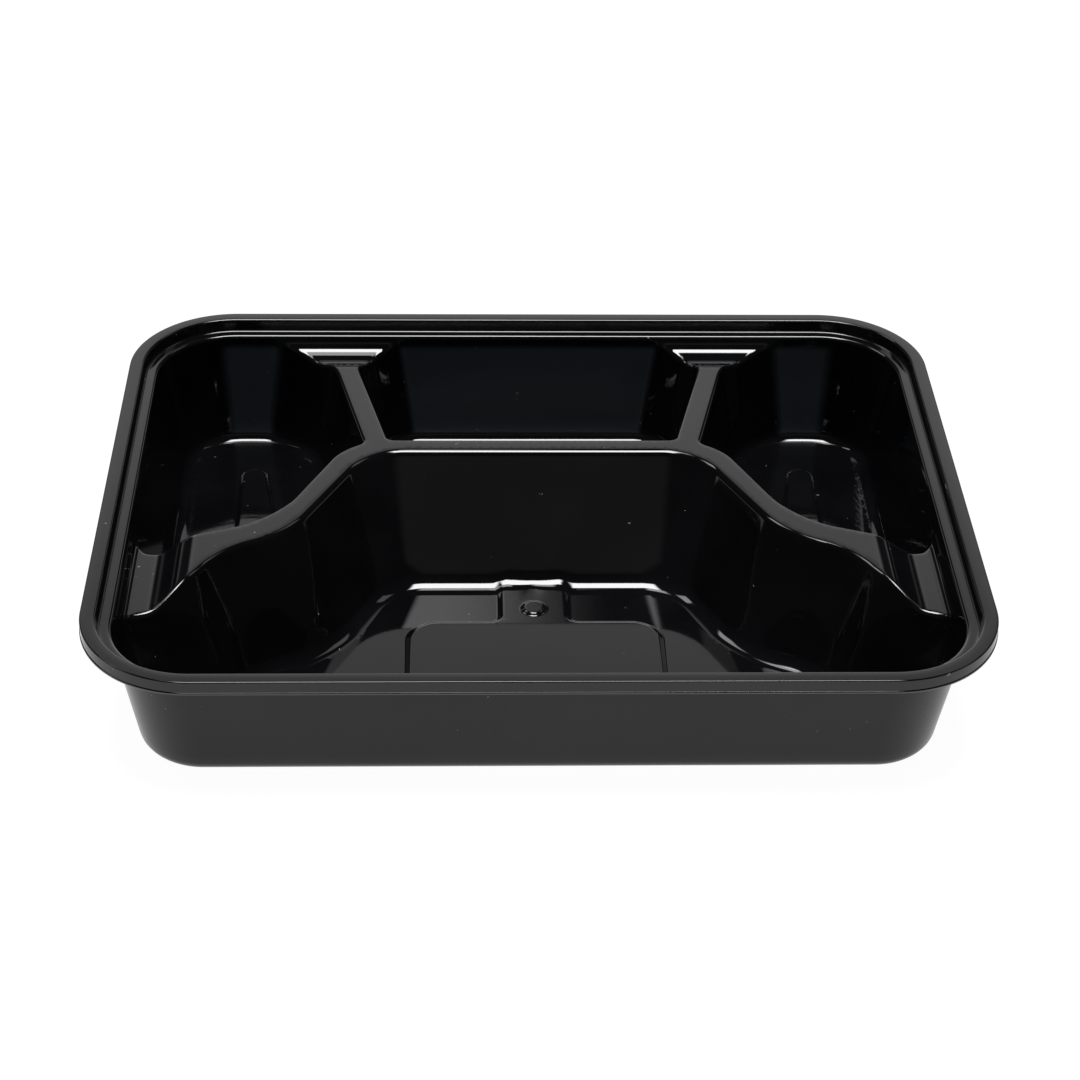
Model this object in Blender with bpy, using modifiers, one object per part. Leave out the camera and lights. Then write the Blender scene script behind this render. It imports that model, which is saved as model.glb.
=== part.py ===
"""Thermoformed food tray with four compartments, in metres, standing on z = 0.

X runs along the width, +Y to the back and +Z up. The sheet is one thin skin: its upper
side is found from the hollows that it lines, and Solidify gives it its thickness.
"""

import math

import bpy
import numpy as np
from mathutils import Vector
from mathutils.geometry import delaunay_2d_cdt

# Overall size
WIDTH = 0.265
DEPTH = 0.205
HEIGHT = 0.043
SHEET = 0.0007
CORNER_RADIUS = 0.0337

# Rim, measured outwards from the inner edge of the lid ledge
LEDGE = 0.0034
STEP_RUN = 0.0008
FLANGE = 0.0046
STEP_DROP = 0.004
SKIRT_DROP = 0.0036
LIP = 0.0005
RIM_WIDTH = LEDGE + STEP_RUN + FLANGE

# Heights of the upper side of the sheet
FLOOR_Z = SHEET
LEDGE_Z = HEIGHT - STEP_DROP
RIDGE_Z = HEIGHT - 0.0065
SHELF_Z = HEIGHT - 0.012

# Outer wall below the ledge
SIDE_DRAFT = math.radians(10.5)
END_DRAFT = math.radians(7.0)

# At the tray's sides the ridges slope down to a level shelf beside the outer wall
SHELF_INSET = 0.0077
SLOPE_INSET = 0.0207

# At its back they dip to a valley, from which a ramp curves up to the outer wall
VALLEY_Z = HEIGHT - 0.0096
VALLEY_INSET = 0.0077
DIP_INSET = 0.0165
RAMP_RISE = 0.0031
RAMP_POWER = 1.7
RAMP_END = 0.083
RAMP_FADE = 0.010
BACK_FROM = 0.0
BACK_RUN = 0.04

# Compartment walls as (start, end, draft): the top edge on the right half of the tray,
# with the compartment on its left
BACK_RIDGE_INSIDE = ((0.0463, 0.0321), (0.0572, 0.0776), math.radians(10))
BACK_RIDGE_OUTSIDE = ((0.0650, 0.0775), (0.0544, 0.0321), math.radians(10))
GUSSET_INSIDE = ((0.0572, 0.0776), (0.0515, 0.0925), math.radians(10))
GUSSET_OUTSIDE = ((0.0760, 0.0925), (0.0650, 0.0775), math.radians(10))
FRONT_RIDGE = ((0.0, 0.0327), (0.04, 0.0327), math.radians(10))
ARM = ((0.0639, 0.0217), (0.0763, -0.0043), math.radians(10))
ARM_END = ((0.0863, -0.0143), (0.1013, -0.0195), math.radians(10))
BAY_BACK = ((0.05, 0.0259), (0.0, 0.0259), math.radians(35))
BAY_SIDE = ((0.0762, -0.0205), (0.0527, 0.0259), math.radians(26))
WING_BACK = ((0.0920, -0.0276), (0.0790, -0.0214), math.radians(27))
WING_SIDE = ((0.1044, -0.0444), (0.0988, -0.0347), math.radians(24))
WING_END = ((0.1217, -0.0536), (0.1104, -0.0497), math.radians(22))

# Radii of the corners between those walls, in plan
COMPARTMENT_CORNER = 0.009
JUNCTION_CORNER = 0.002
GUSSET_BEND = 0.006
RIDGE_BEND = 0.0114
BAY_MOUTH = 0.006
WING_CORNER = 0.004
WING_BEND = 0.0065

# Radii of the corners against the outer wall, at these places from front to back
OUTER_CORNER_PLACES = (-0.045, -0.030)
OUTER_CORNERS = (0.0025, 0.009)

# Radii of the rounded edges
FLOOR_RADIUS = 0.0035
SHELF_RADIUS = 0.002
RIDGE_EDGE = 0.0012
LEDGE_EDGE = 0.0011
EDGE_FADE = 0.003
EDGE_LEAST = 0.05

# Bends of the rim's profile
STEP_BEND = 0.0006
LIP_BEND = 0.0010

# Rings round each compartment: heights above the floor, shares of the wall and drops
# below the brim
RING_HEIGHTS = (0.0, 0.0004, 0.0014, 0.0032)
WALL_SHARES = (0.5,)
RING_DROPS = (0.0011, 0.0004, 0.00005)
FLOOR_TRACE = 1e-6
RAY_REACH = 0.2

# Rings of the outer wall between the shelves and the ledge. The lowest is higher at the back.
LEDGE_DROPS = (0.0011, 0.0004, 0.0001)
BAND_DROP = 0.0045
BACK_BAND_DROP = 0.0018
WALL_REACH = 0.003

# Points along the rim's long and short sides and its corners
SIDE_POINTS = 14
END_POINTS = 11
CORNER_POINTS = 12
LEDGE_RING = 0.0016

# Rows of points on the ridges, by their distance from the ledge's inner edge
RIDGE_INSETS = (0.0011, 0.0016, 0.0023, 0.0034, 0.0055, 0.0078, 0.0100, 0.0120, 0.0140, 0.0162, 0.0184, 0.0206)
RIDGE_GAP = 0.0009
MERGE = 1e-7

# Search for the surface along a line
HALVINGS = 30
MARCH = 0.0003
MARCH_STEPS = 80
MARCH_BACK = 0.002
WALL_SEARCH = 0.004


def round_min(fields, radius):
    """What several half-spaces share, with a rounded edge where they meet."""
    short = sum(np.maximum(radius - field, 0.0) ** 2 for field in fields)
    return np.maximum(radius, np.minimum.reduce(fields)) - np.sqrt(short)


def round_max(fields, radius):
    """What any of several hollows holds, with a rounded edge where they meet."""
    return -round_min([-field for field in fields], radius)


def smooth_step(t):
    t = np.clip(t, 0.0, 1.0)
    return t * t * (3 - 2 * t)


def outer_wall(side, y, z):
    """Distance inside the tray's drafted outer wall, for side = |x|."""
    depth = LEDGE_Z - z
    inset_x = RIM_WIDTH + depth * math.tan(SIDE_DRAFT)
    inset_y = RIM_WIDTH + depth * math.tan(END_DRAFT)
    radius = CORNER_RADIUS - (inset_x + inset_y) / 2
    dx = side - (WIDTH / 2 - inset_x) + radius
    dy = np.abs(y) - (DEPTH / 2 - inset_y) + radius
    beyond = np.hypot(np.maximum(dx, 0.0), np.maximum(dy, 0.0))
    return radius - beyond - np.minimum(np.maximum(dx, dy), 0.0)


def compartment_wall(wall, side, y, z):
    """Distance from one drafted wall, positive in the compartment."""
    (ax, ay), (bx, by), draft = wall
    length = math.hypot(bx - ax, by - ay)
    left = (-(by - ay) / length, (bx - ax) / length)
    plan = (side - ax) * left[0] + (y - ay) * left[1]
    return (plan - (RIDGE_Z - z) * math.tan(draft)) * math.cos(draft)


def behind_ridge(side, y, z):
    """Behind the ridge that bends round the bay, which the back ridges meet squarely."""
    runs = [compartment_wall(wall, side, y, z) for wall in (FRONT_RIDGE, ARM)]
    return round_max(runs, RIDGE_BEND)


def beside_back_ridge(ridge, gusset, side, y, z):
    """On one side of a back ridge, which widens into a gusset at the outer wall."""
    return round_min([compartment_wall(wall, side, y, z) for wall in (ridge, gusset)], GUSSET_BEND)


def back_centre(side, y, z):
    ridge = beside_back_ridge(BACK_RIDGE_INSIDE, GUSSET_INSIDE, side, y, z)
    return round_min([ridge, behind_ridge(side, y, z)], JUNCTION_CORNER)


def back_side(side, y, z):
    ridge = beside_back_ridge(BACK_RIDGE_OUTSIDE, GUSSET_OUTSIDE, side, y, z)
    arm = round_min([behind_ridge(side, y, z), compartment_wall(ARM_END, side, y, z)], COMPARTMENT_CORNER)
    return round_min([ridge, arm], JUNCTION_CORNER)


def front(side, y, z):
    """The bay in the middle joined with the wings beside it and their outer ends."""
    bay = round_min([compartment_wall(wall, side, y, z) for wall in (BAY_BACK, BAY_SIDE)], COMPARTMENT_CORNER)
    wings = round_min([compartment_wall(wall, side, y, z) for wall in (WING_BACK, WING_SIDE)], WING_CORNER)
    ends = compartment_wall(WING_END, side, y, z)
    return round_max([round_max([bay, wings], BAY_MOUTH), ends], WING_BEND)


# Each compartment, with the pole that its rays start from and their number
COMPARTMENTS = {
    back_side: ((0.088, 0.040), 64),
    back_centre: ((0.0, 0.062), 60),
    front: ((0.0, -0.045), 100),
}


def back_share(y):
    """0 beside the arms, 1 at the back ridges."""
    return smooth_step((y - BACK_FROM) / BACK_RUN)


def ridge_height(side, y):
    """Top of the ridges: level inside, and lower along the outer wall."""
    inset = outer_wall(side, y, LEDGE_Z)
    slope = smooth_step((inset - SHELF_INSET) / (SLOPE_INSET - SHELF_INSET))
    beside = SHELF_Z + (RIDGE_Z - SHELF_Z) * slope
    dip = smooth_step((inset - VALLEY_INSET) / (DIP_INSET - VALLEY_INSET))
    ramp = np.clip(1 - inset / VALLEY_INSET, 0.0, 1.0) ** RAMP_POWER
    ramp = ramp * (1 - smooth_step((side - RAMP_END) / RAMP_FADE))
    behind = VALLEY_Z + (RIDGE_Z - VALLEY_Z) * dip + RAMP_RISE * ramp
    return beside + (behind - beside) * back_share(y)


def outer_corner(y):
    """Radius in plan where a compartment's walls meet the outer wall."""
    return np.interp(y, OUTER_CORNER_PLACES, OUTER_CORNERS)


def hollow(x, y, z):
    """Positive in the open space above the sheet, negative below it."""
    side = np.abs(x)
    outer = outer_wall(side, y, z)
    spaces = [round_min([outer, z - ridge_height(side, y)], SHELF_RADIUS)]
    for compartment in COMPARTMENTS:
        section = round_min([outer, compartment(side, y, z)], outer_corner(y))
        spaces.append(round_min([section, z - FLOOR_Z], FLOOR_RADIUS))
    # The ridge's rounded edge fades out at the outer wall, which stays one smooth face.
    edge = RIDGE_EDGE * np.clip(outer / EDGE_FADE, EDGE_LEAST, 1.0)
    return round_max([round_max(spaces, edge), z - LEDGE_Z], LEDGE_EDGE)


def halve(inside, low, high):
    """The place between low and high where inside(place) turns false."""
    for _ in range(HALVINGS):
        middle = (low + high) / 2
        here = inside(middle)
        low = np.where(here, middle, low)
        high = np.where(here, high, middle)
    return (low + high) / 2


def surface_height(x, y):
    low = np.full(x.shape, FLOOR_Z - SHEET)
    high = np.full(x.shape, LEDGE_Z + SHEET)
    return halve(lambda z: hollow(x, y, z) <= 0, low, high)


def spread_angles(outline_radius, count):
    """Angles that follow an outline evenly, and closer where it bends."""
    fine = np.linspace(0, 2 * math.pi, 1441)
    radius = outline_radius(fine)
    x, y = radius * np.cos(fine), radius * np.sin(fine)
    step = np.hypot(np.diff(x), np.diff(y))
    heading = np.unwrap(np.arctan2(np.diff(y), np.diff(x)))
    bend = np.abs(np.diff(heading, append=heading[0] + 2 * math.pi))
    weight = step / step.sum() + bend / bend.sum()
    run = np.concatenate([[0.0], np.cumsum(weight)])
    return np.interp(np.arange(count) * run[-1] / count, run, fine)


def compartment_rings(compartment):
    """Rings of points from the compartment's floor up to its brim, innermost first."""
    pole, count = COMPARTMENTS[compartment]

    def place(r, angles):
        return pole[0] + r * np.cos(angles), pole[1] + r * np.sin(angles)

    def section_radius(angles):
        def inside(r):
            x, y = place(r, angles)
            walls = [outer_wall(np.abs(x), y, SHELF_Z), compartment(np.abs(x), y, SHELF_Z)]
            return round_min(walls, outer_corner(y)) > 0

        return halve(inside, np.zeros(angles.shape), np.full(angles.shape, RAY_REACH))

    angles = spread_angles(section_radius, count)
    middle = section_radius(angles)

    def floor_ring(rise):
        level = np.full(count, FLOOR_Z + max(rise, FLOOR_TRACE))
        r = halve(lambda r: hollow(*place(r, angles), level) > 0, np.zeros(count), middle)
        return np.column_stack([*place(r, angles), np.full(count, FLOOR_Z + rise)])

    def brim_ring(drop):
        def is_open(r):
            x, y = place(r, angles)
            return hollow(x, y, ridge_height(np.abs(x), y) - drop) > 0

        r = middle - MARCH_BACK
        for _ in range(MARCH_STEPS):
            r = np.where(is_open(r), r + MARCH, r)
        x, y = place(halve(is_open, r - MARCH, r), angles)
        return np.column_stack([x, y, ridge_height(np.abs(x), y) - drop])

    def wall_ring(share, bottom, top):
        guess = points_between(bottom, top, share)
        r = np.hypot(guess[:, 0] - pole[0], guess[:, 1] - pole[1])
        level = guess[:, 2]
        r = halve(lambda r: hollow(*place(r, angles), level) > 0, r - WALL_SEARCH, r + WALL_SEARCH)
        return np.column_stack([*place(r, angles), level])

    foot = [floor_ring(rise) for rise in RING_HEIGHTS]
    brim = [brim_ring(drop) for drop in RING_DROPS]
    wall = [wall_ring(share, foot[-1], brim[0]) for share in WALL_SHARES]
    return foot + wall + brim


def rim_outline():
    """Points and outward directions along the inner edge of the ledge."""
    half_x = WIDTH / 2 - RIM_WIDTH
    half_y = DEPTH / 2 - RIM_WIDTH
    radius = CORNER_RADIUS - RIM_WIDTH
    points = []
    ways = []
    corners = ((1, 1, SIDE_POINTS), (-1, 1, END_POINTS), (-1, -1, SIDE_POINTS), (1, -1, END_POINTS))
    for turn, (sx, sy, between) in enumerate(corners):
        centre = np.array([sx * (half_x - radius), sy * (half_y - radius)])
        for angle in np.linspace(turn, turn + 1, CORNER_POINTS) * math.pi / 2:
            way = np.array([math.cos(angle), math.sin(angle)])
            points.append(centre + radius * way)
            ways.append(way)
        nx, ny, _ = corners[(turn + 1) % 4]
        following = np.array([nx * (half_x - radius), ny * (half_y - radius)]) + radius * way
        for k in range(1, between):
            points.append(points_between(centre + radius * way, following, k / between))
            ways.append(way)
    return np.array(points), np.array(ways)


def points_between(start, end, part):
    return start + (end - start) * part


def rim_profile():
    """(offset, height) from the flat of the ledge to the trimmed lip."""
    step = LEDGE + STEP_RUN
    skirt = RIM_WIDTH - LIP
    return (
        (LEDGE_RING, LEDGE_Z),
        (LEDGE - STEP_BEND, LEDGE_Z),
        (LEDGE, LEDGE_Z + STEP_BEND),
        (step - STEP_BEND / 3, HEIGHT - STEP_BEND),
        (step + STEP_BEND * 2 / 3, HEIGHT),
        (skirt - LIP_BEND, HEIGHT),
        (skirt - LIP_BEND * 0.3, HEIGHT - LIP_BEND * 0.3),
        (skirt, HEIGHT - LIP_BEND),
        (skirt, HEIGHT - SKIRT_DROP + LIP_BEND * 0.4),
        (RIM_WIDTH, HEIGHT - SKIRT_DROP),
    )


def inside_loop(loop, points):
    """Which points lie inside a closed loop, by counting crossings."""
    a, b = loop, np.roll(loop, -1, axis=0)
    x, y = points[:, :1], points[:, 1:2]
    spans = (a[:, 1] > y) != (b[:, 1] > y)
    run = np.where(b[:, 1] == a[:, 1], 1e-12, b[:, 1] - a[:, 1])
    cross = a[:, 0] + (y - a[:, 1]) * (b[:, 0] - a[:, 0]) / run
    return (spans & (x < cross)).sum(axis=1) % 2 == 1


def ridge_points(brims):
    """Extra points on the ridge tops and where the ridges run into the outer wall."""
    points, ways = rim_outline()
    fine = [points]
    for part in (1 / 3, 2 / 3):
        fine.append(points_between(points, np.roll(points, -1, axis=0), part))
    directions = [ways] * 3
    rows = [np.vstack(fine) - inset * np.vstack(directions) for inset in RIDGE_INSETS]
    candidates = np.vstack(rows)
    keep = np.ones(len(candidates), bool)
    for brim in brims:
        loop = brim[:, :2]
        near = np.hypot(*(candidates[:, None] - loop[None]).transpose(2, 0, 1)).min(axis=1) < RIDGE_GAP
        keep &= ~inside_loop(loop, candidates) & ~near
    return candidates[keep]


class Skin:
    """Points and faces of the open sheet."""

    def __init__(self):
        self.points = []
        self.faces = []

    def add(self, rows):
        start = len(self.points)
        self.points += [tuple(map(float, row)) for row in rows]
        return list(range(start, len(self.points)))

    def band(self, inner, outer):
        """Quads between two closed rings that run anticlockwise."""
        count = len(inner)
        for k in range(count):
            n = (k + 1) % count
            self.faces.append((inner[k], outer[k], outer[n], inner[n]))


def add_compartment(skin, rings):
    indices = [skin.add(ring) for ring in rings]
    skin.faces.append(tuple(indices[0]))
    for inner, outer in zip(indices, indices[1:]):
        skin.band(inner, outer)
    return indices[-1]


def upper_wall_ring(points, ways, height):
    """Where the outer wall has this height, between the shelf and the ledge."""
    x, y = points[:, 0], points[:, 1]
    level = np.full(len(points), 1.0) * height

    def is_open(inset):
        return hollow(x - inset * ways[:, 0], y - inset * ways[:, 1], level) > 0

    inset = -halve(lambda out: is_open(-out), np.full(len(x), -WALL_REACH), np.full(len(x), WALL_REACH))
    return np.column_stack([x - inset * ways[:, 0], y - inset * ways[:, 1], level])


def add_rim(skin):
    """The rim and the upper wall under it, as rings from the wall outwards."""
    points, ways = rim_outline()
    indices = []
    drops = [BAND_DROP + (BACK_BAND_DROP - BAND_DROP) * back_share(points[:, 1])]
    for drop in drops + list(LEDGE_DROPS):
        indices.append(skin.add(upper_wall_ring(points, ways, LEDGE_Z - drop)))
    for offset, height in rim_profile():
        ring = points + offset * ways
        indices.append(skin.add(np.column_stack([ring, np.full(len(ring), height)])))
    for inner, outer in zip(indices, indices[1:]):
        skin.band(inner, outer)
    return indices[0]


def add_tops(skin, loops, brims):
    """Fills ridge tops and shelves between the compartments and the upper wall."""
    extra = ridge_points(brims)
    heights = surface_height(extra[:, 0], extra[:, 1])
    free = skin.add(np.column_stack([extra, heights]))
    order = [index for loop in loops for index in loop] + free
    edges = []
    start = 0
    for loop in loops:
        count = len(loop)
        edges += [(start + k, start + (k + 1) % count) for k in range(count)]
        start += count
    plan = [Vector(skin.points[index][:2]) for index in order]
    _, _, triangles, origins, _, _ = delaunay_2d_cdt(plan, edges, [], 1, MERGE)
    corners = np.array([order[origin[0]] for origin in origins])
    middles = np.array(skin.points)[corners[np.array(triangles)], :2].mean(axis=1)
    covered = np.zeros(len(triangles), bool)
    for brim in brims:
        covered |= inside_loop(brim[:, :2], middles)
    for triangle, hidden in zip(triangles, covered):
        if not hidden:
            skin.faces.append(tuple(int(corners[k]) for k in triangle))


def build_skin():
    right = compartment_rings(back_side)
    left = [ring[::-1] * (-1, 1, 1) for ring in right]
    skin = Skin()
    loops = [add_rim(skin)]
    brims = []
    for rings in (right, left, compartment_rings(back_centre), compartment_rings(front)):
        loops.append(add_compartment(skin, rings))
        brims.append(rings[-1])
    add_tops(skin, loops, brims)
    return skin


def black_plastic():
    material = bpy.data.materials.new("black_plastic")
    material.use_nodes = True
    shader = material.node_tree.nodes["Principled BSDF"]
    shader.inputs["Base Color"].default_value = (0.004, 0.004, 0.005, 1.0)
    shader.inputs["Roughness"].default_value = 0.15
    shader.inputs["Metallic"].default_value = 0.0
    return material


def clear_scene():
    for item in list(bpy.data.objects):
        bpy.data.objects.remove(item, do_unlink=True)


def main():
    clear_scene()
    collection = bpy.data.collections.new("compartment_tray")
    bpy.context.scene.collection.children.link(collection)
    skin = build_skin()
    mesh = bpy.data.meshes.new("tray")
    mesh.from_pydata(skin.points, [], skin.faces)
    mesh.materials.append(black_plastic())
    mesh.shade_smooth()
    tray = bpy.data.objects.new("tray", mesh)
    collection.objects.link(tray)
    sheet = tray.modifiers.new("sheet", "SOLIDIFY")
    sheet.thickness = SHEET
    sheet.offset = -1.0
    sheet.use_even_offset = True
    sheet.use_rim = True


main()
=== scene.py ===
"""Looks of a black compartment food tray: its fine skin, its plastic, and a white studio.

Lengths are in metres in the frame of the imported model: X along the width, +Y to the back,
+Z up, and the tray stands on z = 0. The skin is found as in the model's source, from the
hollows that it lines, but far more closely and with the low relief of its floors.
"""

import math

import bpy
import numpy as np
from mathutils import Matrix, Vector
from mathutils.geometry import delaunay_2d_cdt


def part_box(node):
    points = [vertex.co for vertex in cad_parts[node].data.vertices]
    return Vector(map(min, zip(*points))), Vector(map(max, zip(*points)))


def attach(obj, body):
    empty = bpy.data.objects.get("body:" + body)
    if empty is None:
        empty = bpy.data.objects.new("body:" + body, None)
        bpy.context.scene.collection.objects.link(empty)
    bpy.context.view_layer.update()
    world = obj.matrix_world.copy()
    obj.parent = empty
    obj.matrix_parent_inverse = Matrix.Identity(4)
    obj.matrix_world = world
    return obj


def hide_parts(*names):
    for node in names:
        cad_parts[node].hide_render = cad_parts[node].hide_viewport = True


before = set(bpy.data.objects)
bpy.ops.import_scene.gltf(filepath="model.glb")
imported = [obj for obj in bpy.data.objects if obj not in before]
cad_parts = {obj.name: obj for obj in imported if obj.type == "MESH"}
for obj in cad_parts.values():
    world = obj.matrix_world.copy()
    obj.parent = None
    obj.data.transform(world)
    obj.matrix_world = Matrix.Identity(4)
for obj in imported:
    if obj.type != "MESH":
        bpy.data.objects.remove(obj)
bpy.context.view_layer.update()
low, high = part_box("tray")

# Overall size, from the frame
WIDTH = high.x - low.x
DEPTH = high.y - low.y
HEIGHT = high.z
SHEET = 0.0007
CORNER_RADIUS = 0.0337

# Rim, measured outwards from the inner edge of the lid ledge
LEDGE = 0.0034
STEP_RUN = 0.0008
FLANGE = 0.0046
STEP_DROP = 0.004
SKIRT_DROP = 0.0036
LIP = 0.0002
RIM_WIDTH = LEDGE + STEP_RUN + FLANGE
STEP_BEND = 0.0008
LIP_BEND = 0.0004
LIP_FOOT_BEND = LIP * 0.9
BEND_POINTS = 6

# Heights of the upper side of the sheet
FLOOR_Z = SHEET
LEDGE_Z = HEIGHT - STEP_DROP
RIDGE_Z = HEIGHT - 0.0065
SHELF_Z = HEIGHT - 0.012

# Outer wall below the ledge
SIDE_DRAFT = math.radians(10.5)
END_DRAFT = math.radians(7.0)

# At the tray's sides the ridges slope down to a level shelf beside the outer wall
SHELF_INSET = 0.0077
SLOPE_INSET = 0.0207

# At its back they dip to a valley, from which a ramp curves up to the outer wall
VALLEY_Z = HEIGHT - 0.0096
VALLEY_INSET = 0.0077
DIP_INSET = 0.0165
RAMP_RISE = 0.0031
RAMP_POWER = 1.7
RAMP_END = 0.083
RAMP_FADE = 0.010
BACK_FROM = 0.0
BACK_RUN = 0.04

# Compartment walls as (start, end, draft): the top edge on the right half of the tray,
# with the compartment on its left
BACK_RIDGE_INSIDE = ((0.0463, 0.0321), (0.0572, 0.0776), math.radians(10))
BACK_RIDGE_OUTSIDE = ((0.0650, 0.0775), (0.0544, 0.0321), math.radians(10))
GUSSET_INSIDE = ((0.0572, 0.0776), (0.0515, 0.0925), math.radians(10))
GUSSET_OUTSIDE = ((0.0760, 0.0925), (0.0650, 0.0775), math.radians(10))
FRONT_RIDGE = ((0.0, 0.0327), (0.04, 0.0327), math.radians(10))
ARM = ((0.0639, 0.0217), (0.0763, -0.0043), math.radians(10))
ARM_END = ((0.0863, -0.0143), (0.1013, -0.0195), math.radians(10))
BAY_BACK = ((0.05, 0.0259), (0.0, 0.0259), math.radians(35))
BAY_SIDE = ((0.0762, -0.0205), (0.0527, 0.0259), math.radians(26))
WING_BACK = ((0.0920, -0.0276), (0.0790, -0.0214), math.radians(27))
WING_SIDE = ((0.1044, -0.0444), (0.0988, -0.0347), math.radians(24))
WING_END = ((0.1217, -0.0536), (0.1104, -0.0497), math.radians(22))

# Radii of the corners between those walls, in plan
COMPARTMENT_CORNER = 0.009
JUNCTION_CORNER = 0.002
GUSSET_BEND = 0.0014
RIDGE_BEND = 0.0114
BAY_MOUTH = 0.006
WING_CORNER = 0.004
WING_BEND = 0.0065

# Radii of the corners against the outer wall, at these places from front to back
OUTER_CORNER_PLACES = (-0.045, -0.030)
OUTER_CORNERS = (0.0025, 0.009)

# Radii of the rounded edges
FLOOR_RADIUS = 0.0035
SHELF_RADIUS = 0.002
RIDGE_EDGE = 0.0012
LEDGE_EDGE = 0.0011
EDGE_FADE = 0.003
EDGE_LEAST = 0.05

# Raised panel in the front floor, with a tongue back to the bay's wall and a button on it
PANEL_RISE = 0.0010
PANEL_SLOPE = 0.0021
PANEL_HALF_WIDTH = 0.0405
PANEL_BACK = -0.0175
PANEL_FRONT = -0.0750
PANEL_CORNER = 0.0105
TONGUE_HALF_WIDTH = 0.0116
TONGUE_BACK = 0.02
TONGUE_BLEND = 0.0025
BUTTON = (0.0, -0.0121)
BUTTON_RADIUS = 0.0044
BUTTON_SLOPE = 0.0016
BUTTON_RISE = 0.0008

# Raised rib in each back corner floor, as its axis from the rounded end forwards
RIB_END = (0.0928, 0.0645)
RIB_START = (0.0895, 0.0250)
RIB_END_RADIUS = 0.0048
RIB_START_RADIUS = 0.0078
RIB_RISE = 0.0010
RIB_SLOPE = 0.0014
RIB_BEHIND = 0.012
RIB_BESIDE = 0.07

# Rings round each compartment: heights above the floor, shares of the wall and drops
# below the brim
RING_HEIGHTS = (0.0, 0.00008, 0.0003, 0.00065, 0.00115, 0.0018, 0.0026, 0.0035)
WALL_SHARES = (0.12, 0.25, 0.4, 0.55, 0.7, 0.85)
RING_DROPS = (0.0016, 0.0011, 0.00075, 0.00045, 0.00022, 0.00008, 0.00002)
FLOOR_TRACE = 1e-6
RAY_REACH = 0.2

# Rings of the outer wall between the shelves and the ledge. The lowest is higher at the back.
LEDGE_DROPS = (0.0011, 0.0007, 0.0004, 0.00018, 0.00005, 0.00001)
BAND_DROP = 0.0045
BACK_BAND_DROP = 0.0018
WALL_REACH = 0.003

# Points along the rim's long and short sides and its corners
SIDE_POINTS = 96
END_POINTS = 72
CORNER_POINTS = 28

# Rows of points on the ridges, by their distance from the ledge's inner edge
CLOSE_INSETS = tuple(0.0009 + 0.00028 * k for k in range(12))
WIDE_INSETS = tuple(0.0045 + 0.0009 * k for k in range(19))
RIDGE_INSETS = CLOSE_INSETS + WIDE_INSETS
RIDGE_GAP = 0.00045
RIDGE_PARTS = 3
MERGE = 1e-7

# Grids of points on the floors and on the ridges' level tops
FLOOR_STEP = 0.0014
RELIEF_STEP = 0.00032
RELIEF_BEND = 1.2e-5
FLOOR_GAP = 0.0004
TOP_STEP = 0.0016
ROW_SPACING = 0.87
GAP_BATCH = 4000

# Search for the surface along a line
HALVINGS = 28
MARCH = 0.0003
MARCH_STEPS = 80
MARCH_BACK = 0.002
WALL_SEARCH = 0.004
FINE_ANGLES = 2881
LEAST_RUN = 1e-12


def round_min(fields, radius):
    """What several half-spaces share, with a rounded edge where they meet."""
    short = sum(np.maximum(radius - field, 0.0) ** 2 for field in fields)
    return np.maximum(radius, np.minimum.reduce(fields)) - np.sqrt(short)


def round_max(fields, radius):
    """What any of several hollows holds, with a rounded edge where they meet."""
    return -round_min([-field for field in fields], radius)


def smooth_step(t):
    t = np.clip(t, 0.0, 1.0)
    return t * t * (3 - 2 * t)


def rounded_box(x, y, half_x, half_y, radius):
    """Distance outside a rounded rectangle about the origin."""
    dx = np.abs(x) - half_x + radius
    dy = np.abs(y) - half_y + radius
    return np.hypot(np.maximum(dx, 0.0), np.maximum(dy, 0.0)) + np.minimum(np.maximum(dx, dy), 0.0) - radius


def outer_wall(side, y, z):
    """Distance inside the tray's drafted outer wall, for side = |x|."""
    depth = LEDGE_Z - z
    inset_x = RIM_WIDTH + depth * math.tan(SIDE_DRAFT)
    inset_y = RIM_WIDTH + depth * math.tan(END_DRAFT)
    radius = CORNER_RADIUS - (inset_x + inset_y) / 2
    return -rounded_box(side, y, WIDTH / 2 - inset_x, DEPTH / 2 - inset_y, radius)


def compartment_wall(wall, side, y, z):
    """Distance from one drafted wall, positive in the compartment."""
    (ax, ay), (bx, by), draft = wall
    length = math.hypot(bx - ax, by - ay)
    left = (-(by - ay) / length, (bx - ax) / length)
    plan = (side - ax) * left[0] + (y - ay) * left[1]
    return (plan - (RIDGE_Z - z) * math.tan(draft)) * math.cos(draft)


def behind_ridge(side, y, z):
    """Behind the ridge that bends round the bay, which the back ridges meet squarely."""
    runs = [compartment_wall(wall, side, y, z) for wall in (FRONT_RIDGE, ARM)]
    return round_max(runs, RIDGE_BEND)


def beside_back_ridge(ridge, gusset, side, y, z):
    """On one side of a back ridge, which widens into a gusset at the outer wall."""
    return round_min([compartment_wall(wall, side, y, z) for wall in (ridge, gusset)], GUSSET_BEND)


def back_centre(side, y, z):
    ridge = beside_back_ridge(BACK_RIDGE_INSIDE, GUSSET_INSIDE, side, y, z)
    return round_min([ridge, behind_ridge(side, y, z)], JUNCTION_CORNER)


def back_side(side, y, z):
    ridge = beside_back_ridge(BACK_RIDGE_OUTSIDE, GUSSET_OUTSIDE, side, y, z)
    arm = round_min([behind_ridge(side, y, z), compartment_wall(ARM_END, side, y, z)], COMPARTMENT_CORNER)
    return round_min([ridge, arm], JUNCTION_CORNER)


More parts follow.
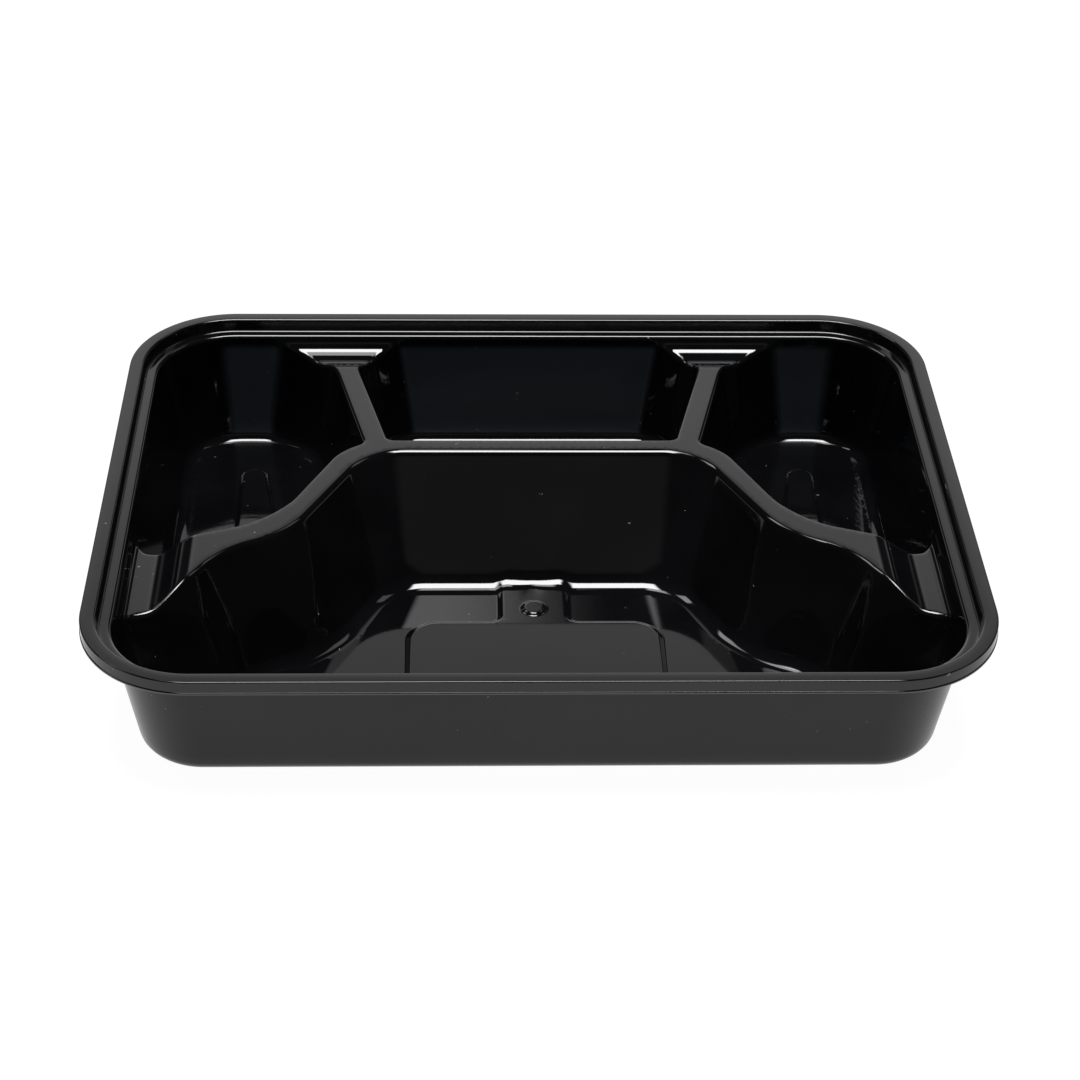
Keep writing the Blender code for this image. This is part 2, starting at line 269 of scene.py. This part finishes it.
def front(side, y, z):
    """The bay in the middle joined with the wings beside it and their outer ends."""
    bay = round_min([compartment_wall(wall, side, y, z) for wall in (BAY_BACK, BAY_SIDE)], COMPARTMENT_CORNER)
    wings = round_min([compartment_wall(wall, side, y, z) for wall in (WING_BACK, WING_SIDE)], WING_CORNER)
    ends = compartment_wall(WING_END, side, y, z)
    return round_max([round_max([bay, wings], BAY_MOUTH), ends], WING_BEND)


# Each compartment, with the pole that its rays start from and their number
COMPARTMENTS = {
    back_side: ((0.088, 0.040), 260),
    back_centre: ((0.0, 0.062), 240),
    front: ((0.0, -0.045), 400),
}


def panel_relief(side, y):
    middle = (PANEL_BACK + PANEL_FRONT) / 2
    half = (PANEL_BACK - PANEL_FRONT) / 2
    panel = -rounded_box(side, y - middle, PANEL_HALF_WIDTH, half, PANEL_CORNER)
    tongue = round_min([TONGUE_HALF_WIDTH - side, TONGUE_BACK - y, y - middle], TONGUE_BLEND)
    inside = round_max([panel, tongue], TONGUE_BLEND)
    button = BUTTON_RADIUS - np.hypot(side - BUTTON[0], y - BUTTON[1])
    return PANEL_RISE * smooth_step(inside / PANEL_SLOPE) + BUTTON_RISE * smooth_step(button / BUTTON_SLOPE)


def rib_relief(side, y):
    (ex, ey), (sx, sy) = RIB_END, RIB_START
    length = math.hypot(sx - ex, sy - ey)
    along = ((side - ex) * (sx - ex) + (y - ey) * (sy - ey)) / length
    across = np.abs((side - ex) * (sy - ey) - (y - ey) * (sx - ex)) / length
    part = np.clip(along / length, 0.0, 1.0)
    radius = RIB_END_RADIUS + (RIB_START_RADIUS - RIB_END_RADIUS) * part
    beyond = np.maximum(np.maximum(-along, along - length), 0.0)
    return RIB_RISE * smooth_step((radius - np.hypot(across, beyond)) / RIB_SLOPE)


def floor_height(x, y):
    """The upper side of the floors with their low relief."""
    side = np.abs(x)
    relief = np.where(y < TONGUE_BACK, panel_relief(side, y), 0.0)
    return FLOOR_Z + relief + np.where((y > RIB_BEHIND) & (side > RIB_BESIDE), rib_relief(side, y), 0.0)


def back_share(y):
    """0 beside the arms, 1 at the back ridges."""
    return smooth_step((y - BACK_FROM) / BACK_RUN)


def ridge_height(side, y):
    """Top of the ridges: level inside, and lower along the outer wall."""
    inset = outer_wall(side, y, LEDGE_Z)
    slope = smooth_step((inset - SHELF_INSET) / (SLOPE_INSET - SHELF_INSET))
    beside = SHELF_Z + (RIDGE_Z - SHELF_Z) * slope
    dip = smooth_step((inset - VALLEY_INSET) / (DIP_INSET - VALLEY_INSET))
    ramp = np.clip(1 - inset / VALLEY_INSET, 0.0, 1.0) ** RAMP_POWER
    ramp = ramp * (1 - smooth_step((side - RAMP_END) / RAMP_FADE))
    behind = VALLEY_Z + (RIDGE_Z - VALLEY_Z) * dip + RAMP_RISE * ramp
    return beside + (behind - beside) * back_share(y)


def outer_corner(y):
    """Radius in plan where a compartment's walls meet the outer wall."""
    return np.interp(y, OUTER_CORNER_PLACES, OUTER_CORNERS)


def hollow(x, y, z):
    """Positive in the open space above the sheet, negative below it."""
    side = np.abs(x)
    outer = outer_wall(side, y, z)
    above_floor = z - floor_height(x, y)
    spaces = [round_min([outer, z - ridge_height(side, y)], SHELF_RADIUS)]
    for compartment in COMPARTMENTS:
        section = round_min([outer, compartment(side, y, z)], outer_corner(y))
        spaces.append(round_min([section, above_floor], FLOOR_RADIUS))
    # The ridge's rounded edge fades out at the outer wall, which stays one smooth face.
    edge = RIDGE_EDGE * np.clip(outer / EDGE_FADE, EDGE_LEAST, 1.0)
    return round_max([round_max(spaces, edge), z - LEDGE_Z], LEDGE_EDGE)


def halve(inside, low, high):
    """The place between low and high where inside(place) turns false."""
    for _ in range(HALVINGS):
        middle = (low + high) / 2
        here = inside(middle)
        low = np.where(here, middle, low)
        high = np.where(here, high, middle)
    return (low + high) / 2


def surface_height(x, y):
    low = np.full(x.shape, FLOOR_Z - SHEET)
    high = np.full(x.shape, LEDGE_Z + SHEET)
    return halve(lambda z: hollow(x, y, z) <= 0, low, high)


def spread_angles(outline_radius, count):
    """Angles that follow an outline evenly, and closer where it bends."""
    fine = np.linspace(0, 2 * math.pi, FINE_ANGLES)
    radius = outline_radius(fine)
    x, y = radius * np.cos(fine), radius * np.sin(fine)
    step = np.hypot(np.diff(x), np.diff(y))
    heading = np.unwrap(np.arctan2(np.diff(y), np.diff(x)))
    bend = np.abs(np.diff(heading, append=heading[0] + 2 * math.pi))
    weight = step / step.sum() + bend / bend.sum()
    run = np.concatenate([[0.0], np.cumsum(weight)])
    return np.interp(np.arange(count) * run[-1] / count, run, fine)


def compartment_rings(compartment):
    """Rings of points from the compartment's floor up to its brim, innermost first."""
    pole, count = COMPARTMENTS[compartment]

    def place(r, angles):
        return pole[0] + r * np.cos(angles), pole[1] + r * np.sin(angles)

    def section_radius(angles):
        def inside(r):
            x, y = place(r, angles)
            walls = [outer_wall(np.abs(x), y, SHELF_Z), compartment(np.abs(x), y, SHELF_Z)]
            return round_min(walls, outer_corner(y)) > 0

        return halve(inside, np.zeros(angles.shape), np.full(angles.shape, RAY_REACH))

    angles = spread_angles(section_radius, count)
    middle = section_radius(angles)

    def floor_ring(rise):
        def is_open(r):
            x, y = place(r, angles)
            return hollow(x, y, floor_height(x, y) + max(rise, FLOOR_TRACE)) > 0

        x, y = place(halve(is_open, np.zeros(count), middle), angles)
        return np.column_stack([x, y, floor_height(x, y) + rise])

    def brim_ring(drop):
        def is_open(r):
            x, y = place(r, angles)
            return hollow(x, y, ridge_height(np.abs(x), y) - drop) > 0

        r = middle - MARCH_BACK
        for _ in range(MARCH_STEPS):
            r = np.where(is_open(r), r + MARCH, r)
        x, y = place(halve(is_open, r - MARCH, r), angles)
        return np.column_stack([x, y, ridge_height(np.abs(x), y) - drop])

    def wall_ring(share, bottom, top):
        level = bottom[:, 2] + (top[:, 2] - bottom[:, 2]) * share
        guess = bottom[:, :2] + (top[:, :2] - bottom[:, :2]) * share
        r = np.hypot(guess[:, 0] - pole[0], guess[:, 1] - pole[1])
        r = halve(lambda r: hollow(*place(r, angles), level) > 0, r - WALL_SEARCH, r + WALL_SEARCH)
        return np.column_stack([*place(r, angles), level])

    foot = [floor_ring(rise) for rise in RING_HEIGHTS]
    brim = [brim_ring(drop) for drop in RING_DROPS]
    wall = [wall_ring(share, foot[-1], brim[0]) for share in WALL_SHARES]
    return foot + wall + brim


def rim_outline():
    """Points and outward directions along the inner edge of the ledge."""
    half_x = WIDTH / 2 - RIM_WIDTH
    half_y = DEPTH / 2 - RIM_WIDTH
    radius = CORNER_RADIUS - RIM_WIDTH
    points = []
    ways = []
    corners = ((1, 1, SIDE_POINTS), (-1, 1, END_POINTS), (-1, -1, SIDE_POINTS), (1, -1, END_POINTS))
    for turn, (sx, sy, between) in enumerate(corners):
        centre = np.array([sx * (half_x - radius), sy * (half_y - radius)])
        for angle in np.linspace(turn, turn + 1, CORNER_POINTS) * math.pi / 2:
            way = np.array([math.cos(angle), math.sin(angle)])
            points.append(centre + radius * way)
            ways.append(way)
        nx, ny, _ = corners[(turn + 1) % 4]
        following = np.array([nx * (half_x - radius), ny * (half_y - radius)]) + radius * way
        for k in range(1, between):
            points.append(points_between(centre + radius * way, following, k / between))
            ways.append(way)
    return np.array(points), np.array(ways)


def points_between(start, end, part):
    return start + (end - start) * part


def bent_line(points, bends):
    """A line of (offset, height) points with its inner corners rounded."""
    line = [points[0]]
    for before, here, after, radius in zip(points, points[1:], points[2:], bends):
        here, before, after = (np.array(p, float) for p in (here, before, after))
        come = (before - here) / np.linalg.norm(before - here)
        leave = (after - here) / np.linalg.norm(after - here)
        half = math.acos(np.clip(come @ leave, -1, 1)) / 2
        centre = here + (come + leave) / np.linalg.norm(come + leave) * radius / math.sin(half)
        first = here + come * radius / math.tan(half)
        last = here + leave * radius / math.tan(half)
        start = math.atan2(*(first - centre)[::-1])
        turn = (math.atan2(*(last - centre)[::-1]) - start + math.pi) % (2 * math.pi) - math.pi
        for k in range(BEND_POINTS + 1):
            angle = start + turn * k / BEND_POINTS
            line.append(tuple(centre + radius * np.array([math.cos(angle), math.sin(angle)])))
    return line + [points[-1]]


def rim_profile():
    """(offset, height) from the flat of the ledge to the trimmed lip."""
    step = LEDGE + STEP_RUN
    skirt = RIM_WIDTH - LIP
    corners = [
        (LEDGE / 2, LEDGE_Z),
        (LEDGE, LEDGE_Z),
        (step, HEIGHT),
        (skirt, HEIGHT),
        (skirt, HEIGHT - SKIRT_DROP),
        (RIM_WIDTH, HEIGHT - SKIRT_DROP),
    ]
    return bent_line(corners, (STEP_BEND, STEP_BEND, LIP_BEND, LIP_FOOT_BEND))


def inside_loop(loop, points):
    """Which points lie inside a closed loop, by counting crossings."""
    a, b = loop, np.roll(loop, -1, axis=0)
    x, y = points[:, :1], points[:, 1:2]
    spans = (a[:, 1] > y) != (b[:, 1] > y)
    run = np.where(b[:, 1] == a[:, 1], LEAST_RUN, b[:, 1] - a[:, 1])
    cross = a[:, 0] + (y - a[:, 1]) * (b[:, 0] - a[:, 0]) / run
    return (spans & (x < cross)).sum(axis=1) % 2 == 1


def gap_to(loop, points):
    """Distance from each point to the nearest point of a loop, in batches."""
    gaps = []
    for start in range(0, len(points), GAP_BATCH):
        part = points[start : start + GAP_BATCH]
        gaps.append(np.hypot(*(part[:, None] - loop[None]).transpose(2, 0, 1)).min(axis=1))
    return np.concatenate(gaps) if gaps else np.zeros(0)


def grid_points(loop, step):
    """A staggered grid over a loop's box."""
    lowest, highest = loop.min(axis=0), loop.max(axis=0)
    columns = np.arange(lowest[0], highest[0], step)
    rows = np.arange(lowest[1], highest[1], step * ROW_SPACING)
    x, y = np.meshgrid(columns, rows)
    x[1::2] += step / 2
    return np.column_stack([x.ravel(), y.ravel()])


def ridge_points(brims):
    """Extra points on the ridge tops and where the ridges run into the outer wall."""
    points, ways = rim_outline()
    fine = [points_between(points, np.roll(points, -1, axis=0), k / RIDGE_PARTS) for k in range(RIDGE_PARTS)]
    rows = [np.vstack(fine) - inset * np.vstack([ways] * RIDGE_PARTS) for inset in RIDGE_INSETS]
    level = grid_points(points, TOP_STEP)
    level = level[outer_wall(np.abs(level[:, 0]), level[:, 1], LEDGE_Z) > RIDGE_INSETS[-1] + TOP_STEP / 2]
    candidates = np.vstack(rows + [level])
    keep = np.ones(len(candidates), bool)
    for brim in brims:
        loop = brim[:, :2]
        keep &= ~inside_loop(loop, candidates)
    candidates = candidates[keep]
    for brim in brims:
        candidates = candidates[gap_to(brim[:, :2], candidates) > RIDGE_GAP]
    return candidates


def relief_bend(points, reach):
    """How much the floor's relief bends round each point."""
    x, y = points[:, 0], points[:, 1]
    ways = ((reach, 0), (-reach, 0), (0, reach), (0, -reach))
    around = sum(floor_height(x + dx, y + dy) for dx, dy in ways)
    return np.abs(around - 4 * floor_height(x, y))


def floor_points(loop):
    """Points on a compartment's floor, close together where its relief bends."""
    coarse = grid_points(loop, FLOOR_STEP)
    coarse = coarse[relief_bend(coarse, FLOOR_STEP) <= RELIEF_BEND]
    fine = grid_points(loop, RELIEF_STEP)
    fine = fine[relief_bend(fine, RELIEF_STEP * 2) > RELIEF_BEND]
    points = np.vstack([coarse, fine])
    points = points[inside_loop(loop, points)]
    return points[gap_to(loop, points) > FLOOR_GAP]


class Skin:
    """Points and faces of the open sheet."""

    def __init__(self):
        self.points = []
        self.faces = []

    def add(self, rows):
        start = len(self.points)
        self.points += [tuple(map(float, row)) for row in rows]
        return list(range(start, len(self.points)))

    def band(self, inner, outer):
        """Quads between two closed rings that run anticlockwise."""
        count = len(inner)
        for k in range(count):
            n = (k + 1) % count
            self.faces.append((inner[k], outer[k], outer[n], inner[n]))

    def fill(self, loops, free, is_hidden):
        """Triangles between loops and free points, apart from those that is_hidden names."""
        order = [index for loop in loops for index in loop] + free
        edges = []
        start = 0
        for loop in loops:
            count = len(loop)
            edges += [(start + k, start + (k + 1) % count) for k in range(count)]
            start += count
        plan = [Vector(self.points[index][:2]) for index in order]
        _, _, triangles, origins, _, _ = delaunay_2d_cdt(plan, edges, [], 1, MERGE)
        corners = np.array([order[origin[0]] for origin in origins])
        middles = np.array(self.points)[corners[np.array(triangles)], :2].mean(axis=1)
        for triangle, hidden in zip(triangles, is_hidden(middles)):
            if not hidden:
                self.faces.append(tuple(int(corners[k]) for k in triangle))


def add_compartment(skin, rings):
    indices = [skin.add(ring) for ring in rings]
    loop = rings[0][:, :2]
    extra = floor_points(loop)
    free = skin.add(np.column_stack([extra, floor_height(extra[:, 0], extra[:, 1])]))
    skin.fill([indices[0]], free, lambda middles: ~inside_loop(loop, middles))
    for inner, outer in zip(indices, indices[1:]):
        skin.band(inner, outer)
    return indices[-1]


def upper_wall_ring(points, ways, height):
    """Where the outer wall has this height, between the shelf and the ledge."""
    x, y = points[:, 0], points[:, 1]
    level = np.zeros(len(points)) + height

    def is_open(inset):
        return hollow(x - inset * ways[:, 0], y - inset * ways[:, 1], level) > 0

    inset = -halve(lambda out: is_open(-out), np.full(len(x), -WALL_REACH), np.full(len(x), WALL_REACH))
    return np.column_stack([x - inset * ways[:, 0], y - inset * ways[:, 1], level])


def add_rim(skin):
    """The rim and the upper wall under it, as rings from the wall outwards."""
    points, ways = rim_outline()
    indices = []
    lowest = BAND_DROP + (BACK_BAND_DROP - BAND_DROP) * back_share(points[:, 1])
    for drop in [lowest, (lowest + LEDGE_DROPS[0]) / 2] + list(LEDGE_DROPS):
        indices.append(skin.add(upper_wall_ring(points, ways, LEDGE_Z - drop)))
    for offset, height in rim_profile():
        ring = points + offset * ways
        indices.append(skin.add(np.column_stack([ring, np.full(len(ring), height)])))
    for inner, outer in zip(indices, indices[1:]):
        skin.band(inner, outer)
    return indices[0]


def add_tops(skin, loops, brims):
    """Fills ridge tops and shelves between the compartments and the upper wall."""
    extra = ridge_points(brims)
    free = skin.add(np.column_stack([extra, surface_height(extra[:, 0], extra[:, 1])]))

    def is_hidden(middles):
        hidden = np.zeros(len(middles), bool)
        for brim in brims:
            hidden |= inside_loop(brim[:, :2], middles)
        return hidden

    skin.fill(loops, free, is_hidden)


def build_skin():
    right = compartment_rings(back_side)
    left = [ring[::-1] * (-1, 1, 1) for ring in right]
    skin = Skin()
    loops = [add_rim(skin)]
    brims = []
    for rings in (right, left, compartment_rings(back_centre), compartment_rings(front)):
        loops.append(add_compartment(skin, rings))
        brims.append(rings[-1])
    add_tops(skin, loops, brims)
    return skin


def fade(nodes, links, value, edge):
    """0 below an edge's first value, 1 above its second."""
    node = nodes.new("ShaderNodeMapRange")
    node.interpolation_type = "SMOOTHSTEP"
    node.inputs["From Min"].default_value = edge[0]
    node.inputs["From Max"].default_value = edge[1]
    links.new(value, node.inputs["Value"])
    return node.outputs["Result"]


def math_node(nodes, links, operation, first, second):
    """A Math node on two inputs, each a socket or a number."""
    node = nodes.new("ShaderNodeMath")
    node.operation = operation
    for socket, value in zip(node.inputs, (first, second)):
        if isinstance(value, (int, float)):
            socket.default_value = value
        else:
            links.new(value, socket)
    return node.outputs["Value"]


def noise(nodes, links, place, scale, detail, stretch=(1, 1, 1)):
    """A noise in the object's own coordinates, drawn out along an axis by stretch."""
    mapping = nodes.new("ShaderNodeMapping")
    mapping.inputs["Scale"].default_value = stretch
    links.new(place.outputs["Object"], mapping.inputs["Vector"])
    node = nodes.new("ShaderNodeTexNoise")
    node.inputs["Scale"].default_value = scale
    node.inputs["Detail"].default_value = detail
    links.new(mapping.outputs["Vector"], node.inputs["Vector"])
    return node.outputs["Fac"]


def mixed_colour(nodes, links, factor, first, second):
    node = nodes.new("ShaderNodeMix")
    node.data_type = "RGBA"
    links.new(factor, node.inputs["Factor"])
    for socket, value in ((node.inputs["A"], first), (node.inputs["B"], second)):
        if isinstance(value, tuple):
            socket.default_value = (*value, 1.0)
        else:
            links.new(value, socket)
    return node.outputs["Result"]


# Plastic: its two blacks, a bluish reflection painted on the steep walls that face the front, which the sheet
# was drawn down and whose haze makes them rougher, and dust
BLACK = (0.0022, 0.0023, 0.0028)
BLACK_PATCHES = (0.0040, 0.0041, 0.0048)
# Painted reflection: a bluish lightness mixed into the colour of the steep walls that face the front
PAINTED_REFLECTION = (0.030, 0.038, 0.046)
DUST = (0.16, 0.155, 0.14)
# Where that painted reflection lies, and where haze makes the walls rougher: steep, facing the front, below
# the rim
REFLECTION_AND_HAZE_STEEP = (0.25, 0.50)
REFLECTION_AND_HAZE_FACING = (0.10, 0.30)
REFLECTION_AND_HAZE_TOP = (HEIGHT - 0.0095, HEIGHT - 0.0065)
WALL_ROUGHNESS = 0.30
DUST_ROUGHNESS = 0.3
DUST_SHARE = (0.765, 0.785)
PATCH_SHARE = (0.3, 0.75)
REFRACTION = 1.49

# Noises of the plastic as (scale, detail, stretch), and how strongly they act
PATCH_NOISE = (38.0, 4.0, (1, 1, 1))
# Soft bands in the painted reflection on the front-facing walls:
REFLECTION_BAND_NOISE = (45.0, 2.0, (0.3, 1.0, 1.3))
DUST_NOISE = (420.0, 2.0, (1, 1, 1))
WEAR_NOISE = (22.0, 5.0, (1.0, 0.4, 1.0))
WAVE_NOISE = (30.0, 2.0, (1, 1, 1))
CREASE_NOISE = (620.0, 1.0, (1, 1, 1))
GRAIN_DETAIL = 3.0
GRAIN_IN_ROUGHNESS = 0.7
ROUGHNESS_SPREAD = 1.2
# Strength and least share of the bands of painted reflection
REFLECTION_BAND_GAIN = 0.7
REFLECTION_BAND_LEAST = 0.5
WAVE_HEIGHT = 6.0

# Creases where the sheet gathered in the back floor corners, as places on the right half
CREASES = ((0.1165, 0.0835), (0.0760, 0.0850))
CREASE_REACH = (0.0015, 0.0055)
CREASE_HEIGHT = 45.0


def split(nodes, links, vector):
    parts = nodes.new("ShaderNodeSeparateXYZ")
    links.new(vector, parts.inputs["Vector"])
    return parts.outputs["X"], parts.outputs["Y"], parts.outputs["Z"]


def painted_reflection_and_haze_wall(nodes, links, place):
    """How far a place is on a steep flat wall that faces the tray's front, below the rim: there a bluish
    reflection is painted into the colour and haze makes the surface rougher.
    """
    across, depth, up = split(nodes, links, place.outputs["Normal"])
    height = split(nodes, links, place.outputs["Object"])[2]
    share = math_node(nodes, links, "LESS_THAN", depth, 0.0)
    turned = fade(nodes, links, math_node(nodes, links, "ABSOLUTE", across, 0.0), REFLECTION_AND_HAZE_FACING)
    for limit in (turned, fade(nodes, links, up, REFLECTION_AND_HAZE_STEEP), fade(nodes, links, height, REFLECTION_AND_HAZE_TOP)):
        share = math_node(nodes, links, "MULTIPLY", share, math_node(nodes, links, "SUBTRACT", 1.0, limit))
    return share


def near_creases(nodes, links, place):
    """1 at the creased corners of the back floors, falling to 0 around them."""
    x, y, _ = split(nodes, links, place.outputs["Object"])
    side = math_node(nodes, links, "ABSOLUTE", x, 0.0)
    total = 0.0
    for across, along in CREASES:
        dx = math_node(nodes, links, "SUBTRACT", side, across)
        dy = math_node(nodes, links, "SUBTRACT", y, along)
        squares = [math_node(nodes, links, "MULTIPLY", d, d) for d in (dx, dy)]
        gap = math_node(nodes, links, "SQRT", math_node(nodes, links, "ADD", *squares), 0.0)
        near = math_node(nodes, links, "SUBTRACT", 1.0, fade(nodes, links, gap, CREASE_REACH))
        total = math_node(nodes, links, "ADD", total, near)
    return total


def plastic(name, roughness, grain, bump, gloss, is_inside):
    """Black polypropylene: uneven black, fine grain, waviness from forming, haze roughness with a painted
    bluish reflection on the front-facing walls, and dust.
    """
    material = bpy.data.materials.new(name)
    material.use_nodes = True
    nodes = material.node_tree.nodes
    links = material.node_tree.links
    shader = nodes["Principled BSDF"]
    shader.inputs["IOR"].default_value = REFRACTION
    shader.inputs["Specular IOR Level"].default_value = gloss
    place = nodes.new("ShaderNodeTexCoord")

    patches = fade(nodes, links, noise(nodes, links, place, *PATCH_NOISE), PATCH_SHARE)
    colour = mixed_colour(nodes, links, patches, BLACK, BLACK_PATCHES)
    fine = noise(nodes, links, place, grain, GRAIN_DETAIL)
    worn = noise(nodes, links, place, *WEAR_NOISE)
    fine_share = math_node(nodes, links, "MULTIPLY", fine, GRAIN_IN_ROUGHNESS)
    spread = math_node(nodes, links, "ADD", fine_share, worn)
    rough = math_node(nodes, links, "MULTIPLY", spread, roughness * ROUGHNESS_SPREAD)
    wave = noise(nodes, links, place, *WAVE_NOISE)
    height = math_node(nodes, links, "ADD", math_node(nodes, links, "MULTIPLY", wave, WAVE_HEIGHT), fine)

    if is_inside:
        # Painted reflection: a bluish lightness in soft bands, mixed into the colour of the steep walls that
        # face the front; the same walls are also made rougher by their haze.
        reflection_and_haze_share = painted_reflection_and_haze_wall(nodes, links, place)
        reflection_bands = math_node(nodes, links, "MULTIPLY", noise(nodes, links, place, *REFLECTION_BAND_NOISE), REFLECTION_BAND_GAIN)
        reflection_bands = math_node(nodes, links, "ADD", reflection_bands, REFLECTION_BAND_LEAST)
        colour = mixed_colour(nodes, links, math_node(nodes, links, "MULTIPLY", reflection_and_haze_share, reflection_bands), colour, PAINTED_REFLECTION)
        hazy_rough = math_node(nodes, links, "MULTIPLY", reflection_and_haze_share, WALL_ROUGHNESS)
        rough = math_node(nodes, links, "ADD", rough, hazy_rough)
        crease = math_node(nodes, links, "MULTIPLY", near_creases(nodes, links, place), CREASE_HEIGHT)
        folds = noise(nodes, links, place, *CREASE_NOISE)
        height = math_node(nodes, links, "ADD", height, math_node(nodes, links, "MULTIPLY", crease, folds))

    dust = fade(nodes, links, noise(nodes, links, place, *DUST_NOISE), DUST_SHARE)
    colour = mixed_colour(nodes, links, dust, colour, DUST)
    rough = math_node(nodes, links, "ADD", rough, math_node(nodes, links, "MULTIPLY", dust, DUST_ROUGHNESS))
    links.new(colour, shader.inputs["Base Color"])
    links.new(rough, shader.inputs["Roughness"])

    relief = nodes.new("ShaderNodeBump")
    relief.inputs["Strength"].default_value = 1.0
    relief.inputs["Distance"].default_value = bump
    links.new(height, relief.inputs["Height"])
    links.new(relief.outputs["Normal"], shader.inputs["Normal"])
    return material


def make_tray():
    skin = build_skin()
    mesh = bpy.data.meshes.new("tray_skin")
    mesh.from_pydata(skin.points, [], skin.faces)
    mesh.materials.append(plastic("gloss_black_plastic", 0.045, 900.0, 0.000002, 0.5, True))
    mesh.materials.append(plastic("satin_black_plastic", 0.22, 2600.0, 0.000004, 0.31, False))
    mesh.shade_smooth()
    tray = bpy.data.objects.new("tray_skin", mesh)
    bpy.context.scene.collection.objects.link(tray)
    sheet = tray.modifiers.new("sheet", "SOLIDIFY")
    sheet.thickness = SHEET
    sheet.offset = -1.0
    sheet.use_even_offset = True
    sheet.use_rim = True
    sheet.material_offset = 1
    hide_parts("tray")
    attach(tray, "root")


# Camera, fitted to the rim's outline: where it aims, its direction and its distance
AIM = (0.00064, -0.03349, HEIGHT)
ELEVATION = math.radians(34.84)
YAW = math.radians(2.26)
ROLL = math.radians(1.24)
DISTANCE = 0.76364
FOCAL_PIXELS = 2550.0
IMAGE_PIXELS = 1080.0
SENSOR = 36.0
CLIP_START = 0.05
CLIP_END = 20.0


def make_camera():
    """A camera that looks at AIM from the front, above and a little to the left."""
    data = bpy.data.cameras.new("camera")
    data.sensor_width = SENSOR
    data.lens = FOCAL_PIXELS / IMAGE_PIXELS * data.sensor_width
    data.clip_start = CLIP_START
    data.clip_end = CLIP_END
    camera = bpy.data.objects.new("camera", data)
    bpy.context.scene.collection.objects.link(camera)
    along = math.cos(ELEVATION)
    back = Vector((-math.sin(YAW) * along, -math.cos(YAW) * along, math.sin(ELEVATION)))
    level = Vector((math.cos(YAW), -math.sin(YAW), 0.0))
    upright = back.cross(level)
    right = level * math.cos(ROLL) + upright * math.sin(ROLL)
    up = upright * math.cos(ROLL) - level * math.sin(ROLL)
    turn = Matrix((right, up, back)).transposed()
    camera.matrix_world = Matrix.Translation(Vector(AIM) + back * DISTANCE) @ turn.to_4x4()
    bpy.context.scene.camera = camera


# Studio, as light by direction. Each panel of light is given by its edges: along the arc,
# in degrees from the back horizon (0) over the top (90) to the front (180), and sideways,
# as the X part of the direction. Each edge fades between its two values.
PANELS = (
    # light, first edge, last edge, left edge, right edge
    (0.62, (-20.0, -10.0), (44.0, 50.0), (-0.38, -0.24), (0.24, 0.38)),
    (0.30, (-20.0, -10.0), (31.5, 39.0), (-0.38, -0.24), (0.24, 0.38)),
    (0.60, (-20.0, -10.0), (12.0, 18.0), (-2.0, -1.5), (1.5, 2.0)),
    (7.0, (69.5, 72.0), (79.0, 81.0), (-0.30, -0.20), (-0.01, 0.06)),
    (24.0, (79.5, 82.0), (98.0, 101.0), (-0.24, -0.15), (0.15, 0.24)),
    (5.0, (58.0, 62.0), (74.0, 78.0), (-0.66, -0.60), (-0.44, -0.38)),
    (1.2, (58.0, 62.0), (74.0, 78.0), (0.38, 0.44), (0.60, 0.66)),
    (0.11, (138.0, 142.0), (149.0, 153.0), (-0.60, -0.40), (0.40, 0.60)),
)
DIM = 0.02
FLOOR_GLOW = 0.97
FLOOR_SHADE = 0.08
FLOOR_REACH = 6.0
FLOOR_GAP_BELOW = 0.0002


def make_world():
    world = bpy.data.worlds.new("studio")
    bpy.context.scene.world = world
    world.use_nodes = True
    nodes = world.node_tree.nodes
    links = world.node_tree.links
    place = nodes.new("ShaderNodeTexCoord")
    parts = nodes.new("ShaderNodeSeparateXYZ")
    links.new(place.outputs["Generated"], parts.inputs["Vector"])
    sideways = parts.outputs["X"]
    angle = math_node(nodes, links, "ARCTAN2", parts.outputs["Z"], parts.outputs["Y"])
    arc = math_node(nodes, links, "MULTIPLY", angle, 180 / math.pi)
    total = DIM
    for light, first, last, left, right in PANELS:
        panel = light
        for value, edge in ((arc, first), (sideways, left)):
            panel = math_node(nodes, links, "MULTIPLY", panel, fade(nodes, links, value, edge))
        for value, edge in ((arc, last), (sideways, right)):
            inside = math_node(nodes, links, "SUBTRACT", 1.0, fade(nodes, links, value, edge))
            panel = math_node(nodes, links, "MULTIPLY", panel, inside)
        total = math_node(nodes, links, "ADD", total, panel)
    links.new(total, nodes["Background"].inputs["Color"])


def make_floor():
    """A white paper floor under the tray."""
    mesh = bpy.data.meshes.new("studio_floor")
    corners = [(x * FLOOR_REACH, y * FLOOR_REACH, 0) for x, y in ((-1, -1), (1, -1), (1, 1), (-1, 1))]
    mesh.from_pydata(corners, [], [(0, 1, 2, 3)])
    floor = bpy.data.objects.new("studio_floor", mesh)
    floor.location.z = -FLOOR_GAP_BELOW
    bpy.context.scene.collection.objects.link(floor)
    paper = bpy.data.materials.new("white_paper")
    paper.use_nodes = True
    shader = paper.node_tree.nodes["Principled BSDF"]
    shader.inputs["Base Color"].default_value = (FLOOR_SHADE, FLOOR_SHADE, FLOOR_SHADE, 1.0)
    shader.inputs["Roughness"].default_value = 1.0
    shader.inputs["Specular IOR Level"].default_value = 0.0
    shader.inputs["Emission Color"].default_value = (1.0, 1.0, 1.0, 1.0)
    shader.inputs["Emission Strength"].default_value = FLOOR_GLOW
    mesh.materials.append(paper)


def make_studio():
    make_world()
    make_floor()
    bpy.context.scene.view_settings.view_transform = "Standard"


make_camera()
make_studio()
make_tray()
